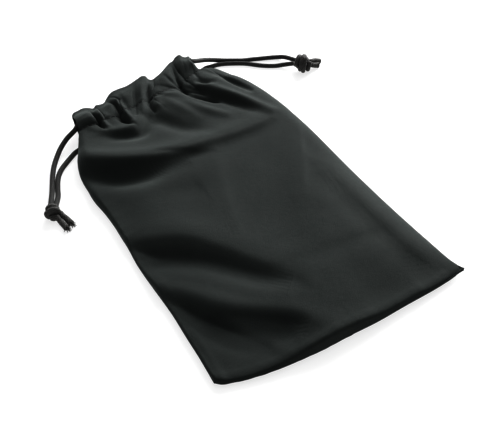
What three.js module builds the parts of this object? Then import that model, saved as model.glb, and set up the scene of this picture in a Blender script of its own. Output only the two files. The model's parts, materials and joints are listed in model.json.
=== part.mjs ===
// Drawstring pouch of thin brushed cloth, lying flat on a table with its mouth partly drawn in.
// Millimetres. Across the pouch is +X, from the bottom seam to the mouth is +Y, up is +Z.
// The layout below is drawn from the bottom left corner of the bag; the group is shifted at the
// end so that the origin is under the middle of the bag, on the table.
import * as THREE from 'three';
import { mergeVertices } from 'three/addons/utils/BufferGeometryUtils.js';

// ---------- driving dimensions (mm) ----------
const CLOTH = 0.7;            // cloth thickness, with its nap
const GAP = 0.35;             // clear space between neighbouring pieces
const BAG_RIGHT = 100.5;      // right edge of the bag; the left edge is x = 0
const BODY_H = 9.4;           // height of the front panel over the middle of the bag
const MOUTH_H = 11.1;         // height of the front panel at the casing
const EDGE_R = 12;            // run over which the front panel falls to the side seams
const EDGE_Z = 1.05;          // height of the front panel's border over the back panel

const MOUTH_C = [43.8, 157.65];               // middle of the casing, in plan
const MOUTH_DIR = 15.5 * Math.PI / 180;       // the drawn-in mouth lies askew by this angle
const CASING_HALF = 33;       // half of the casing's length, drawn in
const CASING_D = 15;          // casing depth, lip to stitch row
const CASING_T = 3.3;         // casing thickness with the tunnel inside
const CASING_WALL = 0.4;
const BACK_CASING_Z = 0;      // underside of the back casing
const FRONT_CASING_Z = 7.8;   // underside of the front casing, so the throat is 4.5 high
const STITCH_D = 0.4;         // sewing thread
const SEAM_W = 3.0;           // turned seam allowance, width
const SEAM_T = 0.9;           // turned seam allowance, thickness

const CORD_D = 2.0;           // round braided drawcord
const HIDDEN = 30;            // straight cord inside each casing end, which a pull draws out
const LEFT_LANE = -2.0;       // the left cord's lane in the tunnels, measured towards the lip
const RIGHT_LANE = 2.5;       // the right cord's lane
const LEFT_KNOT = { c: [-18.2, 100.55, 3.2], r: [3.2, 3.2, 3.15] };
const RIGHT_KNOT = { c: [126.9, 148.15, 4.6], r: [4.6, 4.6, 4.55] };

// ---------- directions in plan ----------
const ax = Math.cos(MOUTH_DIR), ay = Math.sin(MOUTH_DIR);   // along the mouth, left to right
const nx = -ay, ny = ax;                                     // from the bag towards the lip
const mouthPoint = (s, n) => [MOUTH_C[0] + s * ax + n * nx, MOUTH_C[1] + s * ay + n * ny];

// ---------- helpers ----------
const material = (colour, roughness) =>
  new THREE.MeshStandardMaterial({ color: colour, roughness, metalness: 0 });

const clothColour = 0x2d3230, hemColour = 0x2b302e, threadColour = 0x1c1e1e, cordColour = 0x262626;

const group = new THREE.Group();
function add(name, geometry, colour, roughness) {
  const mesh = new THREE.Mesh(geometry, material(colour, roughness));
  mesh.name = name;
  group.add(mesh);
  return mesh;
}

function lerpTable(table, x) {
  if (x <= table[0][0]) return table[0][1];
  for (let i = 1; i < table.length; i++) {
    if (x <= table[i][0]) {
      const [x0, y0] = table[i - 1], [x1, y1] = table[i];
      return y0 + (y1 - y0) * (x - x0) / (x1 - x0);
    }
  }
  return table[table.length - 1][1];
}

// A closed shell between two grids of points of the same size, outer above inner.
// rows run up the bag (+Y), columns run across it (+X).
function shell(outer, inner) {
  const R = outer.length, C = outer[0].length, pos = [], idx = [];
  for (const grid of [outer, inner]) for (const row of grid) for (const p of row) pos.push(...p);
  const o = (r, c) => r * C + c, i = (r, c) => R * C + r * C + c;
  for (let r = 0; r + 1 < R; r++) for (let c = 0; c + 1 < C; c++) {
    idx.push(o(r, c), o(r, c + 1), o(r + 1, c + 1), o(r, c), o(r + 1, c + 1), o(r + 1, c));
    idx.push(i(r, c), i(r + 1, c + 1), i(r, c + 1), i(r, c), i(r + 1, c), i(r + 1, c + 1));
  }
  for (let c = 0; c + 1 < C; c++) {
    idx.push(o(0, c), i(0, c), i(0, c + 1), o(0, c), i(0, c + 1), o(0, c + 1));
    const t = R - 1;
    idx.push(o(t, c), i(t, c + 1), i(t, c), o(t, c), o(t, c + 1), i(t, c + 1));
  }
  for (let r = 0; r + 1 < R; r++) {
    idx.push(o(r, 0), i(r + 1, 0), i(r, 0), o(r, 0), o(r + 1, 0), i(r + 1, 0));
    const t = C - 1;
    idx.push(o(r, t), i(r, t), i(r + 1, t), o(r, t), i(r + 1, t), o(r + 1, t));
  }
  const g = new THREE.BufferGeometry();
  g.setAttribute('position', new THREE.Float32BufferAttribute(pos, 3));
  g.setIndex(idx);
  g.computeVertexNormals();
  return g;
}

// A flat plate with the given outline, from z0 up by t.
function plate(outline, z0, t) {
  const shape = new THREE.Shape(outline.map(([x, y]) => new THREE.Vector2(x, y)));
  const g = new THREE.ExtrudeGeometry(shape, { depth: t, bevelEnabled: false });
  g.translate(0, 0, z0);
  return g;
}

// A round cord or thread along points.
function tube(points, diameter, steps, sides = 8) {
  const section = new THREE.Shape();
  for (let k = 0; k < sides; k++) {
    const a = 2 * Math.PI * k / sides;
    const x = diameter / 2 * Math.cos(a), y = diameter / 2 * Math.sin(a);
    if (k) section.lineTo(x, y); else section.moveTo(x, y);
  }
  section.closePath();
  const path = points.length === 2
    ? new THREE.LineCurve3(new THREE.Vector3(...points[0]), new THREE.Vector3(...points[1]))
    : new THREE.CatmullRomCurve3(points.map((p) => new THREE.Vector3(...p)), false, 'centripetal');
  return new THREE.ExtrudeGeometry(section, { steps, extrudePath: path, bevelEnabled: false });
}

// Turns a geometry drawn in (towards the lip, up, along the mouth) into place at the casing.
function atMouth(g, s, z) {
  const basis = new THREE.Matrix4().makeBasis(
    new THREE.Vector3(nx, ny, 0), new THREE.Vector3(0, 0, 1), new THREE.Vector3(ax, ay, 0));
  const [x, y] = mouthPoint(s, 0);
  g.applyMatrix4(basis);
  g.translate(x, y, z);
  return g;
}

// ---------- outline of the bag, in plan ----------
// The bottom edge bulges out past the corners; the sides run in to the drawn-in mouth.
const BOTTOM = [[0, -1.5], [3, -4.5], [11, -7.0], [23, -8.5], [37, -9.0], [59, -7.4], [74, -6.0], [87, -5.0], [96, -3.5], [100.5, -1.0]];
const LEFT_TOP = [[112, 0], [122, 1.6], [131, 4.8], [137, 9.2], [140.6, 14.3]];
const RIGHT_TOP = [[118, 100.5], [132, 99.5], [143, 97], [150.5, 92.5], [155.5, 86.5], [158.3, 77.9]];
const bottomY = (x) => lerpTable(BOTTOM, x);
const leftX = (y) => (y <= 112 ? 0 : lerpTable(LEFT_TOP, y));
const rightX = (y) => (y <= 118 ? BAG_RIGHT : lerpTable(RIGHT_TOP, y));
const waistY = (x) => 66 + x * ay / ax;      // from this row up, the rows turn askew with the mouth

const topLeft = mouthPoint(-31.0, -CASING_D / 2 - 1.0);    // where the casing's stitch row begins
const topRight = mouthPoint(32.6, -CASING_D / 2 - 1.0);

// ---------- back panel ----------
{
  const outline = [];
  for (const [x, y] of BOTTOM) outline.push([x, y]);
  outline.push([BAG_RIGHT, 60]);
  for (const [y, x] of RIGHT_TOP.slice(0, -1)) outline.push([x, y]);
  outline.push(topRight, topLeft);
  for (const [y, x] of LEFT_TOP.slice(0, -1).reverse()) outline.push([x, y]);
  outline.push([0, 60]);
  add('back_panel', plate(outline, 0, CLOTH), clothColour, 0.95);
}

// ---------- front panel, a domed shell ----------
const quarter = (t) => { const k = Math.min(1, Math.max(0, t)); return Math.sqrt(1 - (1 - k) * (1 - k)); };
const INSETS = [0, 1.1, 3.2, 6.6, EDGE_R];
// Points across one row, from side to side: how far in from each side, and the share across.
function rowAcross(left, right, thick) {
  const row = [], w = Math.hypot(right[0] - left[0], right[1] - left[1]) - 2 * thick;
  const at = (d) => { const f = (thick + d) / (w + 2 * thick); return [left[0] + (right[0] - left[0]) * f, left[1] + (right[1] - left[1]) * f]; };
  const run = EDGE_R - thick;
  const near = INSETS.map((d) => d * run / EDGE_R), middle = 6;
  for (const d of near) row.push([at(d), d / run]);
  for (let k = 1; k < middle; k++) { const d = run + (w - 2 * run) * k / middle; row.push([at(d), 1]); }
  for (const d of near.slice().reverse()) row.push([at(w - d), d / run]);
  return row;
}
function frontGrid(rows, thick) {
  // rows: [{ left, right, h, up }]; up is how far in from the bottom edge, or Infinity
  return rows.map(({ left, right, h, up, bend }) => rowAcross(left, right, thick).map(([[x, y], t]) => {
    const run = EDGE_R - thick;
    const k = Math.min(t, Math.max(0, up) / run);
    const yy = bend ? bend(x, thick) : y;
    return [x, yy, EDGE_Z + (h - thick - EDGE_Z) * quarter(k)];
  }));
}

// One cut of cloth from the bottom seam to the casing. It lifts about the bottom seam when the
// mouth is opened.
{
  const rowsFor = (thick) => {
    const run = EDGE_R - thick, rows = [];
    for (const d of INSETS) {
      const up = d * run / EDGE_R;
      rows.push({ left: [0, 0], right: [BAG_RIGHT, 0], h: BODY_H, up, bend: (x) => bottomY(x) + thick + up });
    }
    for (const v of [0.2, 0.4, 0.6, 0.8, 1]) {
      rows.push({
        left: [0, 0], right: [BAG_RIGHT, 0], h: BODY_H, up: Infinity,
        bend: (x) => (1 - v) * (bottomY(x) + EDGE_R) + v * waistY(x),
      });
    }
    const leftY = [88, 105, 118, 127, 134], rightY = [108, 122, 134, 144, 151.5];
    leftY.forEach((y, k) => rows.push({
      left: [leftX(y), y], right: [rightX(rightY[k]), rightY[k]],
      h: BODY_H + (MOUTH_H - BODY_H) * (k + 1) / (leftY.length + 1), up: Infinity,
    }));
    rows.push({ left: topLeft, right: topRight, h: MOUTH_H, up: Infinity });
    return rows;
  };
  const build = (thick) => frontGrid(rowsFor(thick), thick);
  add('front_panel', shell(build(0), build(CLOTH)), clothColour, 0.95);
}

// ---------- turned seam allowances, inside the bag on the back panel ----------
{
  const z = CLOTH + GAP, inset = 1.4;
  const left = [], leftIn = [], right = [], rightIn = [];
  for (const y of [6, 40, 75, 112, 122, 131]) { left.push([leftX(y) + inset, y]); leftIn.unshift([leftX(y) + inset + SEAM_W, y]); }
  for (const y of [6, 40, 80, 118, 132, 143]) { right.unshift([rightX(y) - inset, y]); rightIn.push([rightX(y) - inset - SEAM_W, y]); }
  add('left_side_seam', plate([...leftIn, ...left], z, SEAM_T), threadColour, 0.9);
  add('right_side_seam', plate([...rightIn, ...right], z, SEAM_T), threadColour, 0.9);
  const low = [], high = [];
  for (const x of [5, 11, 23, 37, 59, 74, 87, 95.5]) { low.push([x, bottomY(x) + inset + 0.3]); high.unshift([x, bottomY(x) + inset + 0.3 + SEAM_W]); }
  add('bottom_seam', plate([...low, ...high], z, SEAM_T), threadColour, 0.9);
}

// ---------- casings: flat cloth tunnels along the lip of each panel ----------
function casing() {
  const ring = (hw, z0, z1, hole) => {
    const r = (z1 - z0) / 2, zc = (z0 + z1) / 2, pts = [];
    for (let k = 0; k <= 4; k++) { const a = -Math.PI / 2 + Math.PI * k / 4; pts.push([hw - r + r * Math.cos(a), zc + r * Math.sin(a)]); }
    for (let k = 0; k <= 4; k++) { const a = Math.PI / 2 + Math.PI * k / 4; pts.push([-hw + r + r * Math.cos(a), zc + r * Math.sin(a)]); }
    const v = pts.map(([x, y]) => new THREE.Vector2(x, y));
    return hole ? new THREE.Path(v) : new THREE.Shape(v);
  };
  const shape = ring(CASING_D / 2, 0, CASING_T, false);
  shape.holes.push(ring(CASING_D / 2 - CASING_WALL, CASING_WALL, CASING_T - CASING_WALL, true));
  return new THREE.ExtrudeGeometry(shape, { depth: 2 * CASING_HALF, bevelEnabled: false });
}
add('back_casing', atMouth(casing(), -CASING_HALF, BACK_CASING_Z), hemColour, 0.95);
add('front_casing', atMouth(casing(), -CASING_HALF, FRONT_CASING_Z), hemColour, 0.95);

// ---------- stitch rows that close the casings, one thread each ----------
function stitchRow(z) {
  const n = -CASING_D / 2 - 0.5;
  const [x0, y0] = mouthPoint(-30.5, n), [x1, y1] = mouthPoint(32, n);
  return tube([[x0, y0, z], [x1, y1, z]], STITCH_D, 8, 6);
}
add('back_casing_stitch', stitchRow(BACK_CASING_Z + 0.45), threadColour, 0.7);
add('front_casing_stitch', stitchRow(FRONT_CASING_Z + 2.6), threadColour, 0.7);

// ---------- drawcords ----------
const BACK_Z = BACK_CASING_Z + CASING_T / 2, FRONT_Z = FRONT_CASING_Z + CASING_T / 2;
const lane = (s, n, z) => [...mouthPoint(s, n), z];

// The part of a cord that stays in the tunnels: a run in the front casing, and a run in the back
// casing that ends in the turn outside the far end of the mouth. side is -1 for the left cord.
function runs(side, n) {
  const start = side * (CASING_HALF - HIDDEN - GAP), end = -side * CASING_HALF;
  const front = tube([lane(start, n, FRONT_Z), lane(end, n, FRONT_Z)], CORD_D, 12);
  const bend = [lane(start, n, BACK_Z), lane(end * 0.5, n, BACK_Z), lane(end * 0.96, n, BACK_Z)];
  const r = (FRONT_Z - BACK_Z) / 2, zc = (FRONT_Z + BACK_Z) / 2;
  const base = end + Math.sign(end) * GAP;
  for (let k = 0; k <= 8; k++) {
    const a = -Math.PI / 2 + Math.PI * k / 8;
    bend.push(lane(base + Math.sign(end) * r * Math.cos(a), n, zc + r * Math.sin(a)));
  }
  return [front, tube(bend, CORD_D, 30)];
}
const [leftFrontRun, leftBackRun] = runs(-1, LEFT_LANE);
const [rightFrontRun, rightBackRun] = runs(1, RIGHT_LANE);
add('left_cord_front_run', leftFrontRun, cordColour, 0.8);
add('left_cord_back_run', leftBackRun, cordColour, 0.8);
add('right_cord_front_run', rightFrontRun, cordColour, 0.8);
add('right_cord_back_run', rightBackRun, cordColour, 0.8);

// Free strands: straight inside the casing, then down to the table and on to the knot.
const inCasing = (side, n, z) => {
  const out = [];
  for (const d of [HIDDEN, 20, 10, 0]) out.push(lane(side * (CASING_HALF - d), n, z));
  return out;
};
const LEFT_FRONT = [...inCasing(-1, LEFT_LANE, FRONT_Z),
  [11.2, 146.5, 9.35], [9.8, 146.0, 8.65], [8.5, 145.5, 7.6], [7.25, 145.0, 6.5], [5.95, 144.65, 5.85],
  [4.6, 144.19, 5.3], [3.15, 143.49, 4.85], [1.6, 142.58, 4.25], [-1.55, 140.13, 2.9],
  [-4.33, 136.76, 2.0], [-6.57, 133.39, 1.5], [-8.42, 129.99, 1.25], [-10.3, 125.6, 1.15],
  [-12.5, 119.48, 1.25], [-14.6, 113.18, 2.0], [-18.0, 104.08, 3.25]];
const LEFT_BACK = [...inCasing(-1, LEFT_LANE, BACK_Z),
  [10.75, 146.35, 1.55], [9.65, 145.65, 1.35], [8.9, 144.3, 1.15], [8.5, 142.7, 1.02],
  [8.3, 141.2, 1.02], [7.95, 139.8, 1.02], [7.25, 138.6, 1.02], [6.3, 137.85, 1.02],
  [5.2, 137.3, 1.02], [3.45, 136.43, 1.02], [0.54, 133.98, 1.02], [-2.55, 131.14, 1.02],
  [-5.41, 128.25, 1.02], [-7.73, 125.05, 1.02], [-9.64, 121.1, 1.02], [-11.53, 115.62, 1.1],
  [-12.92, 110.9, 1.6], [-16.3, 103.5, 2.7]];
const RIGHT_FRONT = [...inCasing(1, RIGHT_LANE, FRONT_Z),
  [76.6, 169.35, 9.15], [78.6, 170.3, 8.2], [81.35, 171.69, 7.0], [85.05, 173.33, 5.5],
  [89.16, 174.59, 3.8], [92.64, 174.92, 2.5], [96.06, 174.17, 1.75], [100.56, 172.15, 1.5],
  [104.96, 170.01, 1.4], [109.08, 169.25, 1.15], [113.93, 167.84, 1.02], [117.82, 166.6, 1.02],
  [122.32, 164.53, 1.2], [124.14, 161.47, 2.2], [125.89, 152.98, 4.1]];
const RIGHT_BACK = [...inCasing(1, RIGHT_LANE, BACK_Z),
  [77.2, 169.5, 1.62], [79.8, 170.3, 1.55], [82.6, 171.3, 1.4], [85.34, 172.72, 1.2],
  [88.19, 172.89, 1.05], [91.72, 173.02, 1.02], [95.27, 172.17, 1.02], [99.52, 170.24, 1.02],
  [103.77, 167.86, 1.02], [105.96, 166.18, 1.02], [107.87, 164.3, 1.02], [110.65, 161.72, 1.02],
  [113.97, 159.4, 1.02], [117.57, 157.55, 1.05], [120.16, 155.83, 1.7], [123.69, 151.77, 3.52]];
add('left_cord_front_strand', tube(LEFT_FRONT, CORD_D, 26), cordColour, 0.8);
add('left_cord_back_strand', tube(LEFT_BACK, CORD_D, 26), cordColour, 0.8);
add('right_cord_front_strand', tube(RIGHT_FRONT, CORD_D, 28), cordColour, 0.8);
add('right_cord_back_strand', tube(RIGHT_BACK, CORD_D, 28), cordColour, 0.8);

// Cut tails past each knot
add('left_cord_front_tail', tube([[-15.6, 98.2, 2.3], [-14.6, 96.3, 1.5], [-14.1, 94.7, 1.15], [-13.7, 93.1, 1.02]], CORD_D, 5), cordColour, 0.8);
add('left_cord_back_tail', tube([[-17.9, 97.15, 2.0], [-17.3, 95.0, 1.2], [-16.85, 93.1, 1.02], [-16.5, 91.3, 1.02]], CORD_D, 5), cordColour, 0.8);
add('right_cord_front_tail', tube([[131.68, 149.11, 3.74], [136.11, 150.19, 2.5], [137.64, 150.52, 1.8], [138.91, 150.47, 1.3]], CORD_D, 5), cordColour, 0.8);
add('right_cord_back_tail', tube([[131.41, 147.22, 2.78], [133.52, 147.14, 1.9], [134.61, 147.3, 1.4], [135.46, 147.09, 1.15]], CORD_D, 5), cordColour, 0.8);

// Knots: the outer shape of an overhand knot tied in both strands
function knot({ c, r }) {
  const g = new THREE.IcosahedronGeometry(1, 2);
  g.deleteAttribute('normal');
  g.deleteAttribute('uv');
  const k = mergeVertices(g, 1e-5);
  k.scale(...r);
  k.translate(...c);
  k.computeVertexNormals();
  return k;
}
add('left_cord_knot', knot(LEFT_KNOT), cordColour, 0.8);
add('right_cord_knot', knot(RIGHT_KNOT), cordColour, 0.8);

// ---------- origin: under the middle of the bag, without the free cords ----------
const FREE = /_(strand|tail|knot)$/;
const box = new THREE.Box3();
group.updateMatrixWorld(true);
for (const mesh of group.children) if (!FREE.test(mesh.name)) box.expandByObject(mesh, true);
group.position.set(-(box.min.x + box.max.x) / 2, -(box.min.y + box.max.y) / 2, -box.min.z);
group.updateMatrixWorld(true);

export default group;
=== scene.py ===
"""Soft drawstring pouch of black brushed microfibre, lying on its back panel with its mouth partly
gathered on two braided drawcords. Lengths are worked out in millimetres in the pouch's own frame,
whose origin is the bottom left corner of the bag, and written in metres in the row frame."""
import json
import math

import bpy
import numpy as np
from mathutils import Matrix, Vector


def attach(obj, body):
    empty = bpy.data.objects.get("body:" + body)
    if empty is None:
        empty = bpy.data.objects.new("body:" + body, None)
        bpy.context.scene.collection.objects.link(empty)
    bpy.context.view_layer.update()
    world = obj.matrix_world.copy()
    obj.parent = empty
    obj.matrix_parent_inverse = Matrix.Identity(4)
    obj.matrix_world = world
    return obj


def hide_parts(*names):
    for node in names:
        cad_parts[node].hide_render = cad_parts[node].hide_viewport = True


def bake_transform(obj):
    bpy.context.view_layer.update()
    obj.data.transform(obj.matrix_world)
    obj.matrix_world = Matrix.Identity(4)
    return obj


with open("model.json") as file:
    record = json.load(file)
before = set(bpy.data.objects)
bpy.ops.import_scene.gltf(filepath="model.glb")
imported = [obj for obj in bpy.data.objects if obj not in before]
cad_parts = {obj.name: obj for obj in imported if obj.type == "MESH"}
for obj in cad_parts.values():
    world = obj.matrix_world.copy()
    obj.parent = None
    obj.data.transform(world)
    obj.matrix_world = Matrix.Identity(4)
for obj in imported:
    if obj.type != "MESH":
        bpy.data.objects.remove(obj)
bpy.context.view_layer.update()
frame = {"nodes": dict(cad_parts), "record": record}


SHIFT = np.array([-50.25, -82.348, 0.0])   # pouch frame to row frame, mm
TAU = 2 * math.pi


def row(p):
    """Pouch frame in mm to row frame in metres."""
    return (np.asarray(p, float) + SHIFT) / 1000.0


# ------------------------------------------------------------------ camera
THETA = math.radians(41.24)
CAM = np.array([-64.3, -139.1, 201.0])      # pouch frame, mm
FOCAL = 779.0                               # in pixels of a 500 x 444 frame
FWD = np.array([0.489 * math.cos(THETA), 0.872 * math.cos(THETA), -math.sin(THETA)])
FWD /= np.linalg.norm(FWD)
RIGHT = np.array([0.872, -0.489, 0.0])
RIGHT /= np.linalg.norm(RIGHT)
UP = np.cross(RIGHT, FWD)

cam_data = bpy.data.cameras.new("camera")
cam_data.sensor_fit = "HORIZONTAL"
cam_data.sensor_width = 36.0
cam_data.lens = 36.0 * FOCAL / 500.0
cam_data.clip_start = 0.01
cam_data.clip_end = 20.0
camera = bpy.data.objects.new("camera", cam_data)
bpy.context.scene.collection.objects.link(camera)
camera.location = row(CAM)
camera.rotation_euler = Vector(FWD).to_track_quat("-Z", "Y").to_euler()
bpy.context.scene.camera = camera


def at(px, py, z):
    """Plan place (x, y), pouch frame, of what is seen at a point of the frame at height z mm."""
    d = FWD * FOCAL + RIGHT * (px - 250.0) + UP * (222.0 - py)
    t = (z - CAM[2]) / d[2]
    p = CAM + t * d
    return float(p[0]), float(p[1])


# ------------------------------------------------------------------ curves
def spline(points, n=None, step=None):
    """Centripetal Catmull-Rom curve through the points, resampled evenly."""
    p = np.asarray(points, float)
    p = np.vstack([2 * p[0] - p[1], p, 2 * p[-1] - p[-2]])
    out = []
    for i in range(1, len(p) - 2):
        a, b, c, d = p[i - 1], p[i], p[i + 1], p[i + 2]
        t0 = 0.0
        t1 = t0 + max(np.linalg.norm(b - a), 1e-6) ** 0.5
        t2 = t1 + max(np.linalg.norm(c - b), 1e-6) ** 0.5
        t3 = t2 + max(np.linalg.norm(d - c), 1e-6) ** 0.5
        t = np.linspace(t1, t2, 24, endpoint=False)[:, None]
        a1 = (t1 - t) / (t1 - t0) * a + (t - t0) / (t1 - t0) * b
        a2 = (t2 - t) / (t2 - t1) * b + (t - t1) / (t2 - t1) * c
        a3 = (t3 - t) / (t3 - t2) * c + (t - t2) / (t3 - t2) * d
        b1 = (t2 - t) / (t2 - t0) * a1 + (t - t0) / (t2 - t0) * a2
        b2 = (t3 - t) / (t3 - t1) * a2 + (t - t1) / (t3 - t1) * a3
        out.append((t2 - t) / (t2 - t1) * b1 + (t - t1) / (t2 - t1) * b2)
    out = np.vstack(out + [p[-2][None]])
    seg = np.linalg.norm(np.diff(out, axis=0), axis=1)
    run = np.concatenate([[0], np.cumsum(seg)])
    if n is None:
        n = max(4, int(round(run[-1] / step)) + 1)
    want = np.linspace(0, run[-1], n)
    return np.stack([np.interp(want, run, out[:, k]) for k in range(out.shape[1])], 1)


def run_of(p):
    return np.concatenate([[0], np.cumsum(np.linalg.norm(np.diff(p, axis=0), axis=1))])


def frames(path):
    """Tangents and two normals along a path that turn as little as they can."""
    t = np.gradient(path, axis=0)
    t /= np.linalg.norm(t, axis=1)[:, None]
    first = np.array([0.0, 0.0, 1.0])
    if abs(t[0] @ first) > 0.9:
        first = np.array([0.0, 1.0, 0.0])
    n = np.zeros_like(t)
    n[0] = first - (first @ t[0]) * t[0]
    n[0] /= np.linalg.norm(n[0])
    for i in range(1, len(t)):
        v = n[i - 1] - (n[i - 1] @ t[i]) * t[i]
        n[i] = v / max(np.linalg.norm(v), 1e-9)
    return t, n, np.cross(t, n)


# ------------------------------------------------------------------ meshes
def make(name, verts, faces, smooth=True, normals=None):
    """A mesh object from pouch frame mm. A fourth column is how far a vertex stands up on its yarn,
    from 0 in the gap to 1 on top, and is kept as the attribute "yarn"; the cord materials use it to paint shade into
    the gaps."""
    verts = np.asarray(verts, float)
    me = bpy.data.meshes.new(name)
    me.from_pydata(row(verts[:, :3]).tolist(), [], [tuple(int(i) for i in f) for f in faces])
    me.validate(clean_customdata=False)
    me.update()
    if verts.shape[1] > 3:
        me.attributes.new("yarn", "FLOAT", "POINT").data.foreach_set("value", verts[:, 3].astype(np.float32))
    if smooth:
        me.polygons.foreach_set("use_smooth", [True] * len(me.polygons))
    if normals is not None:
        me.normals_split_custom_set_from_vertices([tuple(v) for v in normals])
    ob = bpy.data.objects.new(name, me)
    bpy.context.scene.collection.objects.link(ob)
    return ob


def quads(rows, cols, around=False, base=0, flip=False):
    """Faces of a grid of rows x cols vertices; around closes each row on itself."""
    r = np.arange(rows - 1)[:, None]
    c = np.arange(cols if around else cols - 1)[None, :]
    c2 = (c + 1) % cols
    a = base + r * cols + c
    b = base + r * cols + c2
    d = base + (r + 1) * cols + c
    e = base + (r + 1) * cols + c2
    q = np.stack([a, b, e, d], -1).reshape(-1, 4)
    return q[:, ::-1] if flip else q


BRAID_YARNS = 8          # yarns each way round the cord
BRAID_PITCH = 9.0        # mm for a yarn to go once round


def tube(path, radius, around=36, braid=0.10, phase=0.0, dome=0.35):
    """A closed tube round a path, with the crossing yarns of a braid standing out of it.
    radius is a number or one per ring. Gives vertices and faces."""
    path = np.asarray(path, float)
    n = len(path)
    rad = np.broadcast_to(np.asarray(radius, float), (n,)).copy()
    t, nn, bb = frames(path)
    s = run_of(path)
    th = np.arange(around) / around * TAU
    T, S = np.meshgrid(th, s)
    if braid:
        u = BRAID_YARNS * T + TAU * BRAID_YARNS * S / BRAID_PITCH + phase
        w = BRAID_YARNS * T - TAU * BRAID_YARNS * S / BRAID_PITCH - phase * 0.7
        # how high each point stands on its yarn; kept as the attribute yarn, it also drives the painted shade in the
        # gaps
        bump = np.abs(np.sin(u / 2) * np.sin(w / 2)) ** 0.55
        R = rad[:, None] - braid + 1.35 * braid * bump
    else:
        bump = np.full(T.shape, 0.7)
        R = np.broadcast_to(rad[:, None], T.shape).copy()
    cx, sy = np.cos(T), np.sin(T)
    V = path[:, None, :] + (R * cx)[..., None] * nn[:, None, :] + (R * sy)[..., None] * bb[:, None, :]
    verts = V.reshape(-1, 3)
    faces = [tuple(q) for q in quads(n, around, around=True, flip=True)]
    # rounded ends: one smaller ring and a middle point at each end
    for end, ring, sign in ((0, 0, -1.0), (1, n - 1, 1.0)):
        base = len(verts)
        inner = path[ring] + sign * t[ring] * rad[ring] * dome * 0.75 + 0.72 * (V[ring] - path[ring])
        tip = path[ring] + sign * t[ring] * rad[ring] * dome
        verts = np.vstack([verts, inner, tip[None]])
        # the rounded ends take a middle yarn value, which paints them half way to the dark gap colour: painted shade
        bump = np.append(bump, np.full(around + 1, 0.5))
        first = ring * around
        for k in range(around):
            k2 = (k + 1) % around
            a, b, c, d = first + k, first + k2, base + k2, base + k
            faces.append((a, b, c, d) if sign < 0 else (d, c, b, a))
            faces.append((c, base + around, d) if sign < 0 else (d, base + around, c))
    return np.column_stack([verts, bump.ravel()]), faces


def join(parts):
    """One vertex and face list from several."""
    verts, faces, base = [], [], 0
    for v, f in parts:
        verts.append(np.asarray(v, float))
        faces += [tuple(int(i) + base for i in q) for q in f]
        base += len(v)
    return np.vstack(verts), faces


# ------------------------------------------------------------------ cords, routes as in the CAD
MOUTH = np.array([43.8, 157.65])
ANG = math.radians(15.5)
A2 = np.array([math.cos(ANG), math.sin(ANG)])       # along the mouth, left to right
N2 = np.array([-math.sin(ANG), math.cos(ANG)])      # out of the mouth
CASING_HALF = 33.0
LANE = {"left": -2.0, "right": 2.5}
FRONT_Z, BACK_Z = 9.45, 1.65
CORD_D = 2.0


def mouth(s, n):
    p = MOUTH + s * A2 + n * N2
    return float(p[0]), float(p[1])


def exit_of(side, z):
    return [*mouth((-1 if side == "left" else 1) * CASING_HALF, LANE[side]), z]


ROUTES = {
    ("left", "front"): [
        [11.2, 146.5, 9.35], [9.8, 146.0, 8.65], [8.5, 145.5, 7.6], [7.25, 145.0, 6.5], [5.95, 144.65, 5.85],
        [4.6, 144.19, 5.3], [3.15, 143.49, 4.85], [1.6, 142.58, 4.25], [-1.55, 140.13, 2.9],
        [-4.33, 136.76, 2.0], [-6.57, 133.39, 1.5], [-8.42, 129.99, 1.25], [-10.3, 125.6, 1.15],
        [-12.5, 119.48, 1.25], [-14.6, 113.18, 2.0], [-18.0, 104.08, 3.25]],
    ("left", "back"): [
        [10.75, 146.35, 1.55], [9.65, 145.65, 1.35], [8.9, 144.3, 1.15], [8.5, 142.7, 1.02],
        [8.3, 141.2, 1.02], [7.95, 139.8, 1.02], [7.25, 138.6, 1.02], [6.3, 137.85, 1.02], [5.2, 137.3, 1.02],
        [3.45, 136.43, 1.02], [0.54, 133.98, 1.02], [-2.55, 131.14, 1.02], [-5.41, 128.25, 1.02],
        [-7.73, 125.05, 1.02], [-9.64, 121.1, 1.02], [-11.53, 115.62, 1.1], [-12.92, 110.9, 1.6],
        [-16.3, 103.5, 2.7]],
    ("right", "front"): [
        [76.6, 169.35, 9.15], [78.6, 170.3, 8.2], [81.35, 171.69, 7.0], [85.05, 173.33, 5.5],
        [89.16, 174.59, 3.8], [92.64, 174.92, 2.5], [96.06, 174.17, 1.75], [100.56, 172.15, 1.5],
        [104.96, 170.01, 1.4], [109.08, 169.25, 1.15], [113.93, 167.84, 1.02], [117.82, 166.6, 1.02],
        [122.32, 164.53, 1.2], [124.14, 161.47, 2.2], [125.89, 152.98, 4.1]],
    ("right", "back"): [
        [77.2, 169.5, 1.62], [79.8, 170.3, 1.55], [82.6, 171.3, 1.4], [85.34, 172.72, 1.2],
        [88.19, 172.89, 1.05], [91.72, 173.02, 1.02], [95.27, 172.17, 1.02], [99.52, 170.24, 1.02],
        [103.77, 167.86, 1.02], [105.96, 166.18, 1.02], [107.87, 164.3, 1.02], [110.65, 161.72, 1.02],
        [113.97, 159.4, 1.02], [117.57, 157.55, 1.05], [120.16, 155.83, 1.7], [123.69, 151.77, 3.52]],
}
TAILS = {
    ("left", "front"): [[-15.6, 98.2, 2.3], [-14.6, 96.3, 1.5], [-14.1, 94.7, 1.15], [-13.7, 93.1, 1.02]],
    ("left", "back"): [[-17.45, 96.9, 2.0], [-16.85, 94.75, 1.2], [-16.4, 92.9, 1.02], [-16.15, 91.4, 1.02]],
    ("right", "front"): [[131.68, 149.11, 3.74], [136.0, 150.0, 2.5], [137.3, 150.25, 1.8], [138.4, 150.2, 1.35]],
    ("right", "back"): [[131.41, 147.4, 2.78], [133.6, 147.5, 1.9], [134.9, 147.75, 1.45], [135.95, 147.65, 1.2]],
}
KNOTS = {"left": ([-18.2, 100.55, 3.2], 3.2), "right": ([126.9, 148.15, 4.6], 4.6)}

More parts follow.
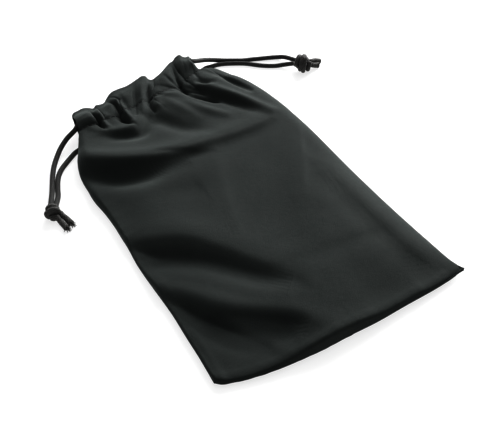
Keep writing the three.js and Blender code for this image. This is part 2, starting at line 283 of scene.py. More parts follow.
cord_pieces = []
strand_paths = {}
for (side, face), route in ROUTES.items():
    z = FRONT_Z if face == "front" else BACK_Z
    start = exit_of(side, z)
    path = spline([start] + route, step=0.2)
    strand_paths[side, face] = path
    v, f = tube(path, CORD_D / 2 + 0.09, braid=0.15, phase=0.8 if side == "left" else 2.1)
    ob = make(f"{side}_{face}_cord", v, f)
    cord_pieces.append(ob)
    ob["side"], ob["face"] = side, face


def knot_mesh(side):
    """An overhand knot tied in both strands: they come in side by side, wind once and a
    quarter round their own middle, cross over the start of the turn and leave at the far end."""
    centre, r = KNOTS[side]
    c = np.array(centre)
    into = [strand_paths[side, f][-1] for f in ("front", "back")]
    away = [np.array(TAILS[side, f][0]) for f in ("front", "back")]
    d = (into[0] + into[1]) / 2 - (away[0] + away[1]) / 2
    d /= np.linalg.norm(d)
    up = np.array([0, 0, 1.0]) - d[2] * d
    up /= np.linalg.norm(up)
    l = np.cross(up, d)
    R0 = r - CORD_D / 2 - 0.1
    reach, turns, tilt = (1.25, 1.2, 0.12) if side == "left" else (2.65, 1.35, 0.18)
    parts = []
    for j in (0, 1):
        pts = [into[j] + d * 0.4, into[j] - d * 0.5]
        turn0 = math.radians(-60 if j == 0 else -95)
        for k in range(21):
            tau = k / 20
            h = (1.0 if j == 0 else -1.0) + reach * (1 - 2 * tau)
            over = 0.45 * (1 / (1 + math.exp(-(tau - 0.72) * 22)))
            rho = math.sqrt(max(1.4, R0 ** 2 - (0.96 * h) ** 2)) + over - 0.25 * (1 - min(1, tau * 5))
            phi = turn0 + tau * TAU * turns
            h += tilt * rho * math.cos(phi - 0.9)
            pts.append(c + d * h + rho * (math.cos(phi) * l + math.sin(phi) * up))
        pts += [away[j] + d * 0.8 + 0.2 * up, away[j] - d * 0.1]
        path = spline(pts, step=0.2)
        path[:, 2] = np.maximum(path[:, 2], CORD_D / 2 + 0.02)
        parts.append(tube(path, CORD_D / 2 + 0.08, around=32, braid=0.15, phase=1.3 * j))
    # the inner turns, seen only between the outer ones
    n, m = 22, 36
    th = np.linspace(0.02, math.pi - 0.02, n)
    ph = np.arange(m) / m * TAU
    TH, PH = np.meshgrid(th, ph, indexing="ij")
    rr = (R0 - 0.35) * (1 + 0.05 * np.sin(3 * PH + 4 * TH) + 0.03 * np.sin(9 * TH))
    V = c + (rr * np.cos(TH))[..., None] * d + (rr * np.sin(TH) * np.cos(PH))[..., None] * l \
        + (rr * np.sin(TH) * np.sin(PH))[..., None] * up
    # the inner turns take the lowest yarn value, so they wear the dark gap colour: painted shade between the outer
    # turns
    V = np.column_stack([V.reshape(-1, 3), np.full(n * m, 0.25)])
    F = [tuple(q) for q in quads(n, m, around=True)]
    F += [tuple(range(m))[::-1], tuple(range((n - 1) * m, n * m))]
    parts.append((V, F))
    return join(parts)


knots, tails = {}, {}
for side in ("left", "right"):
    knots[side] = make(f"{side}_overhand_knot", *knot_mesh(side))
    for face in ("front", "back"):
        rng = np.random.default_rng(11 if side == "left" else 23)
        path = spline(TAILS[side, face], step=0.2)
        wide = (0.08, 0.30) if side == "left" else (0.18, 0.45)
        v, f = tube(path, CORD_D / 2 + np.linspace(*wide, len(path)), around=32, braid=0.15, phase=0.4, dome=0.12)
        parts = [(v, f)]
        if side == "left":
            # frayed end: loose yarns and filaments
            t = path[-1] - path[-3]
            t /= np.linalg.norm(t)
            lat = np.cross(t, [0, 0, 1.0])
            lat /= np.linalg.norm(lat)
            for k in range(44):
                a, q = rng.uniform(0, TAU), 0.95 * math.sqrt(rng.uniform(0, 1))
                off = q * (math.cos(a) * lat + math.sin(a) * np.array([0, 0, 1.0]))
                L = rng.uniform(0.9, 2.6)
                spread = off * rng.uniform(0.4, 1.5) + lat * rng.uniform(-0.5, 0.5)
                p0 = path[-1] - t * 0.4 + off
                p1 = p0 + t * L * 0.5 + spread * 0.35
                p2 = p0 + t * L + spread
                for p in (p0, p1, p2):
                    p[2] = max(p[2], 0.14)
                parts.append(tube(spline([p0, p1, p2], n=7), np.linspace(0.17, 0.08, 7), around=6, braid=0))
        tails[side, face] = make(f"{side}_{face}_cut_tail", *join(parts))

# ------------------------------------------------------------------ outline of the bag
LEFT = [(-0.4, -2.0), (-0.4, 3), (-0.15, 10), (-0.1, 20), (0.1, 30), (-0.2, 39), (-0.65, 49), (-0.85, 59), (-0.35, 68),
        (-0.25, 77), (-0.2, 84), (-0.6, 92), (-1.55, 101), (-1.4, 108), (-1.3, 114), (-0.8, 118.5), (-0.1, 122),
        (0.9, 125.8), (3.0, 130.5), (5.6, 136), (7.9, 141.2)]
RIGHT_EDGE = [(100.6, -2.7), (100.1, 8), (99.55, 25), (99.4, 45), (99.85, 75), (99.9, 110), (99.1, 125), (97.0, 139),
              (93.6, 150.5), (88.9, 158.6), (83.4, 163.4), (77.6, 162.2)]
BOTTOM = [(-0.4, -2.0), (1.4, -3.7), (4.2, -4.7), (8.5, -5.9), (16, -7.2), (26, -7.9), (37, -8.0), (48, -7.4), (59, -7.0),
          (72.5, -5.65), (85.7, -4.45), (93.5, -3.4), (100.6, -2.7)]
STITCH = [(7.9, 141.2), (17, 142.4), (27, 144.6), (37, 147.3), (46, 149.8), (56, 152.8), (66, 156.2), (77.6, 162.2)]
# edge of the gathered lip: (frame x, frame y, height)
LIP_MARKS = [(72.2, 115.8, 8.15), (73.6, 113.4, 8.74), (77.6, 111.2, 9.05), (83.5, 108.5, 9.36),
             (89.0, 108.3, 9.14), (93.3, 108.7, 8.29), (95.8, 105.7, 8.94), (99.0, 105.1, 9.14),
             (103.3, 103.7, 8.97), (106.4, 99.3, 8.38), (109.2, 94.9, 9.06), (112.2, 92.1, 9.54),
             (118.0, 89.4, 9.8), (126.0, 86.5, 9.94), (132.7, 82.4, 10.18), (138.0, 78.7, 10.47),
             (142.3, 76.2, 10.73), (145.6, 76.7, 10.31), (148.3, 79.4, 9.15), (152.2, 79.9, 9.29),
             (156.0, 77.2, 9.7), (160.0, 73.8, 10.13), (165.6, 67.6, 10.55), (169.4, 63.4, 10.22),
             (172.8, 61.2, 9.76), (175.2, 57.7, 10.66), (179.2, 55.1, 11.31), (182.2, 56.7, 10.94),
             (185.4, 57.5, 10.68), (188.4, 56.6, 10.6), (190.8, 60.0, 10.0), (193.2, 62.6, 9.7),
             (195.6, 65.6, 9.4), (197.9, 68.6, 8.7), (200.0, 71.2, 8.0)]
LIP = [(*at(*m), m[2]) for m in LIP_MARKS]

COLS = 301
RB, RC, RF, RU = 230, 46, 8, 16      # rows: body, casing, fold at the lip, turned-in hem
cu = np.linspace(0, 1, COLS)
U = 0.5 * cu + 0.5 * (0.5 - 0.5 * np.cos(math.pi * cu))
rv = np.linspace(0, 1, RB)
V1 = 0.72 * rv + 0.28 * (1 - (1 - rv)) ** 2.4


def smooth(x):
    x = np.clip(x, 0, 1)
    return x * x * (3 - 2 * x)


def at_fraction(points, f):
    c = spline(points, n=600)
    r = run_of(c) / run_of(c)[-1]
    return np.stack([np.interp(f, r, c[:, k]) for k in range(c.shape[1])], -1)


def coons(left, right, bottom, top, u, v):
    L, R = at_fraction(left, v)[:, None], at_fraction(right, v)[:, None]
    B, T = at_fraction(bottom, u)[None], at_fraction(top, u)[None]
    uu, vv = u[None, :, None], v[:, None, None]
    c00, c10, c01, c11 = B[0, 0], B[0, -1], T[0, 0], T[0, -1]
    return ((1 - uu) * L + uu * R + (1 - vv) * B + vv * T
            - ((1 - uu) * (1 - vv) * c00 + uu * (1 - vv) * c10 + (1 - uu) * vv * c01 + uu * vv * c11))


def noise2(x, y, seed, cell):
    """Smooth value noise, -1 to 1."""
    rng = np.random.default_rng(seed)
    g = rng.uniform(-1, 1, (96, 96))
    fx, fy = x / cell + 20.3, y / cell + 20.7
    ix, iy = np.floor(fx).astype(int), np.floor(fy).astype(int)
    tx, ty = smooth(fx - ix), smooth(fy - iy)
    ix, iy = ix % 95, iy % 95
    return ((g[ix, iy] * (1 - tx) + g[ix + 1, iy] * tx) * (1 - ty)
            + (g[ix, iy + 1] * (1 - tx) + g[ix + 1, iy + 1] * tx) * ty)


def fold(X, Y, marks, left, right, z=8.0, power=2.0, ends=1.0):
    """Height of one fold over the plan. marks are (frame x, frame y, height); left and right are
    the half widths on the two sides of the line as it runs."""
    pts = np.array([[*at(m[0], m[1], m[3] if len(m) > 3 else z), m[2]] for m in marks])
    c = spline(pts, n=90)
    h = c[:, 2]
    c = c[:, :2]
    t = np.gradient(c, axis=0)
    t /= np.linalg.norm(t, axis=1)[:, None]
    reach = 3.2 * max(left, right)
    near = ((X > c[:, 0].min() - reach) & (X < c[:, 0].max() + reach)
            & (Y > c[:, 1].min() - reach) & (Y < c[:, 1].max() + reach))
    out = np.zeros_like(X)
    if not near.any():
        return out
    P = np.stack([X[near], Y[near]], 1)
    d2 = ((P[:, None] - c[None]) ** 2).sum(2)
    k = d2.argmin(1)
    d = np.sqrt(d2[np.arange(len(k)), k])
    rel = P - c[k]
    side = t[k, 0] * rel[:, 1] - t[k, 1] * rel[:, 0]
    # a soft change of width across the line
    mix = smooth(0.5 + side / (0.6 * (left + right)))
    w = left * mix + right * (1 - mix)
    out[near] = h[k] * np.exp(-(d / w) ** power)
    return out


# folds of the front panel: (frame x, frame y, height), width on the far side, width on the near side
FOLDS = [
    # ridge across the bag under the mouth, and the deep valley on its near side
    ([(78, 154, 2.0), (92, 157, 2.9), (132, 156, 3.3), (158, 152, 2.7), (182, 146.5, 2.3), (206, 138.5, 1.9), (244, 125, 1.5), (270, 113, 0.8)], 8.0, 3.4, 9.5, 2.0),
    ([(76, 172, -1.9), (95, 175, -3.1), (122, 178, -3.7), (146, 176, -3.1), (166, 170, -1.5), (190, 163, -0.3)], 4.4, 6.0, 5.0, 2.0),
    ([(160, 154, -0.3), (176, 153.5, -0.6), (196, 152.5, -0.6), (210, 151, -0.2)], 1.6, 3.2, 7.5, 2.0),
    # soft line running down from it, with a slightly lower panel on its right
    ([(206, 140, 0.15), (213, 157, 0.45), (220, 187, 0.6), (228, 213, 0.6), (236, 236, 0.2)], 4.6, 9.0, 7.5, 2.0),
    ([(250, 140, -0.3), (262, 165, -0.6), (272, 195, -0.8), (284, 235, -0.5)], 10, 13, 7.0, 2.0),
    ([(296, 121, 0.3), (299, 140, 0.6), (301, 165, 0.6), (302, 190, 0.2)], 3.0, 6.5, 7.5, 2.0),
    ([(168, 190, -0.4), (196, 188, -0.5), (205, 186, -0.2)], 7.0, 7.0, 7.0, 2.0),
    # second valley, with the swelling on its far side
    ([(120, 228, 0.5), (150, 229, 1.3), (190, 232, 1.5), (222, 241, 1.0), (262, 254, 0.5)], 10, 4.5, 8.5, 2.0),
    ([(134, 250, -1.5), (152, 254, -2.6), (182, 258, -3.0), (212, 264, -2.6), (240, 272, -2.3), (268, 279, -1.9), (292, 284, -0.7)], 4.0, 6.0, 5.0, 2.0),
    # ridge between the second and the third valley
    ([(146, 277, 0.5), (168, 283, 1.1), (200, 293, 1.3), (238, 305, 1.2), (290, 312, 0.8), (330, 316, 0.3)], 5.0, 4.2, 8.0, 2.0),
    # third valley, with a branch to the right
    ([(163, 296, -1.1), (180, 305, -2.1), (206, 319, -3.0), (232, 333, -2.7), (262, 343, -1.2)], 3.2, 5.4, 4.8, 2.0),
    ([(222, 316, -0.9), (262, 319, -2.1), (294, 323, -2.2), (309, 327, -0.4)], 3.4, 5.6, 5.5, 2.0),
    ([(240, 328, -0.6), (262, 332, -1.1), (286, 334, -0.8), (300, 334, -0.2)], 4.0, 4.5, 5.2, 2.0),
    # right side: soft valley inside the lit edge, faint crease across
    ([(322, 170, -0.3), (346, 196, -1.0), (376, 224, -1.1), (404, 248, -0.8), (430, 264, -0.2)], 4.5, 7.0, 6.5, 2.0),
    ([(293, 262, -0.2), (335, 247, -0.34), (378, 231, -0.25), (398, 224, -0.1)], 3.6, 5.0, 7.0, 2.0),
    # pleat under the left of the mouth, with the shaded step below it
    ([(84, 126, 0.45), (103, 130, 0.55), (130, 127, 1.2), (138, 119, 0.9), (142, 110, 0.3)], 3.4, 2.0, 8.5, 2.0),
    ([(104, 139, -0.5), (119, 138, -1.7), (140, 134, -2.2), (148, 124, -1.4), (151, 114, -0.3)], 2.2, 4.0, 6.5, 2.0),
    # ridges and hollows that run out of the gathers
    ([(164, 98, 0.7), (180, 106, 0.9), (198, 115, 0.4)], 3.0, 3.0, 8.5, 2.0),
    ([(154, 116, -1.8), (164, 120, -2.4), (182, 127, -1.5), (205, 131, -0.3)], 4.0, 5.0, 7.0, 2.0),
    ([(188, 102, 0.5), (204, 108.5, 1.0), (226, 113, 0.6)], 2.8, 2.8, 8.0, 2.0),
    ([(206, 95, -0.8), (217, 98.5, -2.6), (230, 102, -3.0), (244, 107, -1.9), (262, 113, -0.4)], 2.6, 3.6, 6.0, 2.0),
    ([(206, 83, 1.0), (222, 89, 1.5), (244, 97, 1.7), (270, 107, 0.9)], 3.4, 3.0, 9.0, 2.0),
    ([(204, 73.5, -0.7), (216, 76, -1.9), (232, 81.5, -2.2), (250, 90, -0.8)], 1.5, 2.3, 7.0, 2.0),
    # shallow swelling of the wide middle
    ([(330, 200, 0.5), (330, 240, 0.6), (320, 280, 0.5)], 16, 16, 7.0, 2.0),
]

# creases and small ridges of the gathered mouth, which cross the stitch line
GATHERS = [
    # first crease, and the thin ridge on its right
    ([(90, 111, -0.3), (92, 115, -1.3), (96.5, 119.5, -2.4), (102, 124.5, -2.2), (106, 127.0, -0.5)], 0.7, 0.9, 9.0, 1.4),
    ([(95, 107, 0.4), (98, 112, 0.8), (102, 118, 0.9), (106.5, 123.5, 0.6)], 1.3, 1.2, 9.5, 2.0),
    # second crease, widening to the deep pocket under the third gather
    ([(106, 100, -0.5), (110, 103, -1.4), (115, 105.5, -1.6), (118.5, 110, -2.0), (122.5, 116, -2.3), (130, 120.5, -1.6), (136, 123, -0.3)], 0.9, 1.2, 9.0, 1.4),
    ([(118, 115.5, -0.7), (122, 118.5, -1.7), (128, 120.5, -1.1)], 1.9, 1.9, 8.0, 2.0),
    ([(112, 95, 0.4), (117, 100.5, 0.9), (123, 107.5, 1.2), (128, 113.5, 1.1), (133, 119, 0.5)], 1.4, 1.2, 10.0, 2.0),
    # faint lines down the wide gather
    ([(134.8, 84, -0.5), (135.4, 97, -0.7), (136, 110, -0.5)], 0.8, 1.2, 10.5, 1.6),
    ([(141.5, 78, 0.5), (141.5, 92, 0.9), (143, 106, 0.5)], 1.8, 1.4, 11.0, 2.0),
    ([(119, 92, -0.2), (123, 99, -0.35), (129, 106, -0.2)], 1.0, 1.6, 10.5, 1.8),
    # third crease
    ([(147.8, 81, -0.5), (147.8, 88, -1.6), (148.4, 96, -2.0), (150.5, 102.5, -2.3), (154, 106.5, -1.2)], 0.9, 1.4, 9.5, 1.4),
    ([(152.5, 83, 0.3), (154, 92, 0.7), (158, 101, 0.8)], 2.4, 1.8, 10.0, 2.0),
    # groove at the stitches between the third and the fourth crease
    ([(158, 86.6, -0.2), (170, 86.2, -0.5), (184, 86.4, -0.9), (196, 87.4, -0.9), (206, 89, -0.3)], 0.9, 1.5, 9.0, 1.6),
    ([(158, 91, 0.3), (166, 92.5, 0.5), (176, 93, 0.3)], 1.8, 1.8, 9.0, 2.0),
    # fourth crease
    ([(168.5, 61.5, -0.3), (171.4, 66, -1.3), (174.5, 72, -1.7), (178, 79, -2.3), (183.5, 84.5, -2.1), (190, 87, -0.6)], 0.9, 1.3, 10.0, 1.4),
    ([(161, 73, 0.4), (165.5, 67.5, 0.7), (169, 63, 0.3)], 1.6, 1.6, 11.5, 2.0),
    ([(163.5, 75, -0.4), (171, 78.5, -0.7), (176, 81, -0.3)], 1.0, 1.5, 10.5, 1.6),
    # small folds of the last gather
    ([(181.5, 57.5, -0.35), (183.5, 63, -0.3), (185, 68, -0.1)], 0.8, 1.0, 12.0, 1.5),
    ([(190.5, 66.5, -0.2), (195.5, 73, -0.6), (200, 77.5, -0.5)], 1.0, 1.3, 9.5, 1.5),
    ([(199, 81.5, -0.9), (205.5, 82.8, -1.7), (211, 82.8, -0.7)], 1.9, 1.9, 8.0, 2.0),
    # dark hollow under the last gathers
    ([(183, 91, -1.2), (192, 93.5, -2.6), (204, 96, -3.4), (214, 98.5, -2.6)], 2.0, 2.6, 7.5, 2.0),
    ([(181, 86, -0.6), (190, 88, -1.6), (202, 90, -2.0), (212, 94, -0.8)], 1.8, 2.6, 7.5, 2.0),
]

# gathers of the front casing: place of each crease along the mouth at the stitches, in the middle and at the lip
CREASES = [(-39.0, -37.2, -35.6), (-26.0, -24.6, -23.0), (-17.2, -12.8, -14.2), (-10.5, -5.5, 1.6),
           (-0.3, 6.0, 10.2), (21.6, 23.2, 26.6), (36.8, 38.5, 41.0)]
LOBES = [2.0, 2.0, 2.3, 2.2, 2.3, 3.6]
DEPTH = [0, 1.0, 1.0, 0.4, 1.0, 1.0, 0]     # share of each crease's depth


def lobes(s, t):
    """Height of the gathers above their creases. s is mm along the mouth, t is 0 at the stitches
    and 1 at the lip; below the stitches they fade away."""
    tt = np.clip(t, 0, 1)
    out = np.zeros_like(s)
    edges = [np.interp(tt, [0, 0.5, 1], c) for c in CREASES]
    for i, h in enumerate(LOBES):
        a, b = edges[i], edges[i + 1]
        q = (2 * (s - a) / (b - a) - 1)
        inside = np.abs(q) <= 1
        shape = np.sqrt(np.clip(1 - np.abs(q) ** 2.6, 0, 1))
        # a shallow crease does not cut down to the base
        da, db = DEPTH[i], DEPTH[i + 1]
        floor = np.where(q < 0, 1 - min(da, 1), 1 - min(db, 1)) if (da < 1 or db < 1) else 0
        if i == 0:
            floor = np.where(q < 0, 0.55, 0)
        if i == len(LOBES) - 1:
            floor = np.where(q > 0, 0.15, 0)
        val = h * (floor + (1 - floor) * shape)
        out = np.where(inside, val, out)
    return out


def mouth_coords(X, Y):
    dx, dy = X - MOUTH[0], Y - MOUTH[1]
    return dx * A2[0] + dy * A2[1], dx * N2[0] + dy * N2[1]


def edge_profile(d, r, p=2.3):
    t = np.clip(d / r, 0, 1)
    return (1 - (1 - t) ** p) ** (1 / p)


# ---------- front cloth ----------
P = coons(LEFT, RIGHT_EDGE, BOTTOM, STITCH, U, V1)
X, Y = P[..., 0], P[..., 1]
UU, VV = np.meshgrid(U, V1)
width = 100.0
dl, dr = UU * width, (1 - UU) * width
db = np.array([run_of(P[:, c])[:] for c in range(COLS)]).T     # distance up from the bottom seam
dt = run_of(P[:, COLS // 2])[-1] - db


def plateau(X, Y, dl, dr, db):
    h = 6.9 + 0.35 * noise2(X, Y, 5, 34) + 0.13 * noise2(X, Y, 9, 13)
    h = h + 1.1 * smooth((Y - 105) / 40)
    corner_l = smooth(np.hypot(dl, db) / 34)
    corner_r = smooth(np.hypot(dr, db) / 22)
    h = 3.9 + (h - 3.9) * (0.15 + 0.85 * corner_l) * (0.15 + 0.85 * corner_r)
    # the bottom border is low in two places, and the cloth climbs from it over a hand's breadth
    low = spline([(-5, 0.8), (4, 1.5), (12, 2.3), (22, 2.6), (29, 2.1), (37, 0.9), (46, 0.9), (56, 1.7), (65, 2.7), (74, 3.1),
                  (84, 3.2), (92, 2.4), (106, 1.0)], n=400)
    h = h - np.interp(X, low[:, 0], low[:, 1]) * np.exp(-(db / 24.0) ** 2)
    # the left border lies low from the bottom corner up to the valley under the mouth
    low = spline([(-10, 0.4), (0, 0.6), (8, 1.4), (18, 2.4), (30, 3.0), (50, 3.1), (70, 3.0), (88, 2.8), (100, 2.0),
                  (110, 0.9), (118, 0.0), (180, 0.0)], n=400)
    h = h - np.interp(Y, low[:, 0], low[:, 1]) * np.exp(-(dl / 14.0) ** 2)
    # raised line along the bottom seam and the shallow dip behind it
    h = h + 0.22 * np.exp(-((db - 2.6) / 1.6) ** 2) - 0.15 * np.exp(-((db - 8.0) / 4.0) ** 2)
    h = h + 0.25 * np.exp(-((dl - 3.4) / 1.6) ** 2) * smooth((70 - db) / 40)
    return h


H = plateau(X, Y, dl, dr, db)
for marks, far, near, z, power in FOLDS:
    H = H + fold(X, Y, marks, far, near, z, power)
least = 1.9 + 1.0 * np.exp(-(dl / 5.0) ** 2)
H = least + 0.2 * np.logaddexp(0, (H - least) / 0.2)
GATHERED = np.zeros_like(X)
for marks, far, near, z, power in GATHERS:
    GATHERED = GATHERED + fold(X, Y, marks, far, near, z, power)

S, N = mouth_coords(X, Y)
# the gathers fade out below the stitches
below = np.clip(dt, 0, None)
stitch_s = mouth_coords(*at_fraction(STITCH, U).T)[0]
fade = np.exp(-(below / 7.0) ** 1.3)
lob = lobes(S, np.zeros_like(S))
base_top = 7.6
H = H * (1 - fade) + fade * (base_top + 0.40 * lob + 0.35 * (H - 7.6))
# the foot of the first gather spreads a little way down the body
H = H + 0.6 * np.exp(-((S + 34) / 13.0) ** 2) * np.exp(-(below / 6.0) ** 2)

H = H + GATHERED
# edges roll over to the seams, which open near the mouth
front_seam = 2.1 + 4.6 * smooth((VV - 0.885) / 0.115)
bottom_seam = 1.3 + 0.7 * np.sin(math.pi * np.clip(UU, 0, 1)) ** 0.7
# the right corner is a small pointed tip that stands clear of the table
tip = np.exp(-(np.hypot(X - 100.6, Y + 2.7) / 4.2) ** 2)
side_free = smooth((VV - 0.9) / 0.1)
roll_l = smooth((Y - 94) / 24)
rl = 1.8 * (1 - roll_l) + (6.5 - 3.0 * side_free) * roll_l
rr = 9.0 - 5.0 * side_free
el, eb = edge_profile(dl, rl), edge_profile(db, 1.7, 2.3)
# the right side falls off flat and wide low down, and rolls over higher up
er_flat = edge_profile(dr, 15.0 * (0.45 + 0.55 * smooth(db / 30)), 1.5)
er_roll = edge_profile(dr, rr * (0.35 + 0.65 * smooth(db / 30)))
roll = smooth((Y - 62) / 38)
er = er_flat * (1 - roll) + er_roll * roll
el = 1 - (1 - el) * (1 - 0.6 * side_free)
er = 1 - (1 - er) * (1 - 0.6 * side_free)
seam_z = front_seam * smooth(db / 6) + np.minimum(front_seam, bottom_seam) * (1 - smooth(db / 6)) + 1.9 * tip
H = H + 0.6 * tip
pucker = (0.16 * noise2(Y * 1.0, X * 0.0, 21, 2.6) * np.exp(-dl / 3.5) + 0.16 * noise2(Y, X * 0.0 + 9, 22, 2.9) * np.exp(-dr / 3.5)
          + 0.18 * noise2(X, Y * 0.0, 23, 2.8) * np.exp(-db / 3.5))
Z = seam_z + (H + pucker - seam_z) * el * er * eb
# groove pulled in by the stitches
Z = Z - 0.28 * np.exp(-(below / 0.8) ** 2)
body_front = np.stack([X, Y, Z], -1)

# casing of the front cloth, from the stitches to the lip
st, lp3 = at_fraction(STITCH, U), at_fraction(LIP, U)
lp, lip_z = lp3[:, :2], lp3[:, 2]
tc = np.linspace(0, 1, RC + 1)[1:]
C = st[None] + (lp - st)[None] * tc[:, None, None]
CX, CY = C[..., 0], C[..., 1]
CS, CN = mouth_coords(CX, CY)
TT = np.broadcast_to(tc[:, None], CX.shape)
lobc = lobes(CS, TT)
rise = np.sin(math.pi * np.clip(TT * 0.62, 0, 1)) ** 0.8
zbase = base_top + 1.2 * rise
gain = 0.40 + 0.60 * smooth(TT / 0.8)
# the first gather rises at once and then lies level
first = smooth((-22.0 - CS) / 4.0)
gain = gain * (1 - first) + (0.5 + 0.5 * smooth(TT / 0.25)) * first
CZ = zbase + lobc * gain + 0.6 * np.exp(-((CS + 34) / 13.0) ** 2) * (1 - smooth(TT / 0.45))
# the lobes get a faint unevenness, and the cloth dips a little right at the stitches
CZ = CZ + 0.10 * noise2(CS * 1.0, CN, 31, 3.0) + 0.2 * noise2(CS, CN * 0.3, 32, 7.0)
CZ = CZ - 0.28 * np.exp(-(TT * 14 / 0.8) ** 2)
# both ends swell over the cords that leave there
for end, much, wide, lean in ((-32.0, 1.0, 7.5, 0.5), (33.5, 0.8, 5.5, 1.0)):
    CZ = CZ + much * np.exp(-((CS - end) / wide) ** 2) * np.sin(math.pi * np.clip(TT, 0, 1) ** lean) ** 1.2
for marks, far, near, z, power in GATHERS:
    CZ = CZ + fold(CX, CY, marks, far, near, z, power)
# where the hem narrows to its end it lies straight between the stitches and the lip
narrow = smooth((np.linalg.norm(lp - st, axis=1) - 1.0) / 11.0)[None]
straight = body_front[-1, :, 2][None] * (1 - TT) + lip_z[None] * TT
CZ = straight * (1 - narrow) + CZ * narrow
# the lip keeps its own height, and no crease cuts into the cord of the tunnel
toward = smooth((TT - 0.35) / 0.65) ** 1.1
CZ = CZ * (1 - toward) + lip_z[None] * toward


def run_z(d):
    """Height of the cord in the front tunnel, d mm inside the tunnel's end."""
    q = np.clip(d / 5.0, 0, 1)
    return FRONT_Z + (6.15 - FRONT_Z) * q * q * (3 - 2 * q)


floor_z = np.full_like(CZ, 6.3)
for side in ("left", "right"):
    sn = -1 if side == "left" else 1
    sx_ = np.linspace(-CASING_HALF, CASING_HALF, 133)
    run = np.array([[*mouth(v, LANE[side]), run_z(CASING_HALF - sn * v)] for v in sx_])
    free = strand_paths[side, "front"][:45]
    run = np.vstack([run, free])
    for x, y, z in run:
        d2 = (CX - x) ** 2 + (CY - y) ** 2
        hit = d2 < 1.5 ** 2
        over = z + np.sqrt(np.clip(1.45 ** 2 - d2[hit], 0, None)) + 0.18
        floor_z[hit] = np.maximum(floor_z[hit], over)
soft = 0.35
CZ = floor_z + soft * np.logaddexp(0, (CZ - floor_z) / soft)
casing_front = np.stack([CX, CY, CZ], -1)

# fold at the lip and the turned-in hem under the casing
lip_dir = lp - st
lip_dir /= np.linalg.norm(lip_dir, axis=1)[:, None]
r_lip = 1.0
fold_rows = []
top_z = casing_front[-1, :, 2]
for k in range(1, RF + 1):
    a = math.pi / 2 - math.pi * k / RF
    fold_rows.append(np.concatenate([lp + lip_dir * r_lip * math.cos(a), (top_z - r_lip + r_lip * math.sin(a))[:, None]], 1))
hem_base = 4.65
under = []
for t in np.linspace(1, 0.04, RU + 1)[1:]:
    pl = st + (lp - st) * t
    s_, n_ = mouth_coords(pl[:, 0], pl[:, 1])
    k = int(round(t * RC)) - 1
    top = casing_front[max(k, 0), :, 2]
    low = hem_base + 0.12 * lobes(s_, np.full_like(s_, t)) - 0.2 * math.sin(math.pi * t)
    m = smooth((t - 0.80) / 0.20)
    zz = low * (1 - m) + (top_z - 2 * r_lip) * m
    zz = np.minimum(zz, top - 1.1)
    under.append(np.concatenate([pl, zz[:, None]], 1))
FRONT_GRID = np.concatenate([body_front, casing_front, np.array(fold_rows), np.array(under)], 0)


def grid_normals(G):
    du = np.gradient(G, axis=1)
    dv = np.gradient(G, axis=0)
    n = np.cross(du, dv)
    n /= np.maximum(np.linalg.norm(n, axis=2), 1e-9)[..., None]
    return n


def shell(G, N, thick, c0, c1):
    """A closed cloth of even thickness under the columns c0..c1 of a grid."""
    g, n = G[:, c0:c1 + 1], N[:, c0:c1 + 1]
    r, c = g.shape[:2]
    outer = g.reshape(-1, 3)
    inner = (g - n * thick).reshape(-1, 3)
    verts = np.vstack([outer, inner])
    m = r * c
    faces = [tuple(q) for q in quads(r, c)] + [tuple(q) for q in quads(r, c, base=m, flip=True)]
    for k in range(c - 1):
        faces.append((k + 1, k, m + k, m + k + 1))
        a = (r - 1) * c + k
        faces.append((a, a + 1, m + a + 1, m + a))
    for k in range(r - 1):
        a = k * c
        faces.append((a, a + c, m + a + c, m + a))
        b = k * c + c - 1
        faces.append((b + c, b, m + b, m + b + c))
    nn = np.vstack([n.reshape(-1, 3), -n.reshape(-1, 3)])
    return verts, faces, nn


THICK = 0.5
NF = grid_normals(FRONT_GRID)
MID = COLS // 2
front_pieces = {}
for name, c0, c1 in (("left", 0, MID), ("right", MID, COLS - 1)):
    v, f, n = shell(FRONT_GRID, NF, THICK, c0, c1)
    front_pieces[name] = make(f"front_cloth_{name}", v, f, normals=n)

# ---------- back cloth ----------
BX, BY = X.copy(), Y.copy()
back_seam = 1.95 + 0 * VV
back_bottom = 1.15 + 0.7 * np.sin(math.pi * UU) ** 0.7
bseam = back_seam * smooth(db / 6) + np.minimum(back_seam, back_bottom) * (1 - smooth(db / 6))
# the side seams stay closed to a short way under the stitches, where the front edge stands higher
closed = 1 - smooth((VV - 0.965) / 0.035)
climb_l = (np.clip(Z[:, :1] - 0.8, 1.95, None) - 1.95) * closed
climb_r = (np.clip(Z[:, -1:] - 0.8, 1.95, None) - 1.95) * closed
bseam = bseam + np.where(UU < 0.5, climb_l, climb_r)
bl, br_, bb_ = edge_profile(dl, 3.2 + 0.9 * climb_l), edge_profile(dr, 3.2 + 0.9 * climb_r), edge_profile(db, 3.6)
BZ = 0.03 + (bseam - 0.03) * (1 - bl * br_ * bb_) + 1.9 * tip
BZ = BZ + 0.10 * (1 - bl * br_ * bb_) * noise2(X + Y, X - Y, 41, 3.0)
BZ = np.maximum(BZ, 0.03)
BACK_ST = [(10.4, 140.6), (17, 142.4), (27, 144.6), (37, 147.3), (46, 149.8), (56, 152.8), (66, 156.0), (76.0, 160.4)]
BACK_LIP = [(10.9, 153.2), (18, 155.6), (27, 158.4), (37, 161.4), (47, 164.2), (57, 167.0), (66, 169.4), (74.2, 171.2)]
# the body's last rows draw in to the narrower back casing
bst = at_fraction(BACK_ST, U)
pull = smooth((VV - 0.9) / 0.1)[..., None]
base_line = P[-1][None]
BP = P + (bst[None] - base_line) * pull
BCREASE = [-33, -27.5, -21, -16.5, -9, -3.5, 3, 8.5, 16, 21.5, 28, 33.5]


def ruffles(s):
    out = np.zeros_like(s)
    for i in range(len(BCREASE) - 1):
        q = 2 * (s - BCREASE[i]) / (BCREASE[i + 1] - BCREASE[i]) - 1
        out = np.where(np.abs(q) <= 1, np.sqrt(np.clip(1 - np.abs(q) ** 2.4, 0, 1)) * (0.75 + 0.25 * math.sin(i * 2.1)), out)
    return out


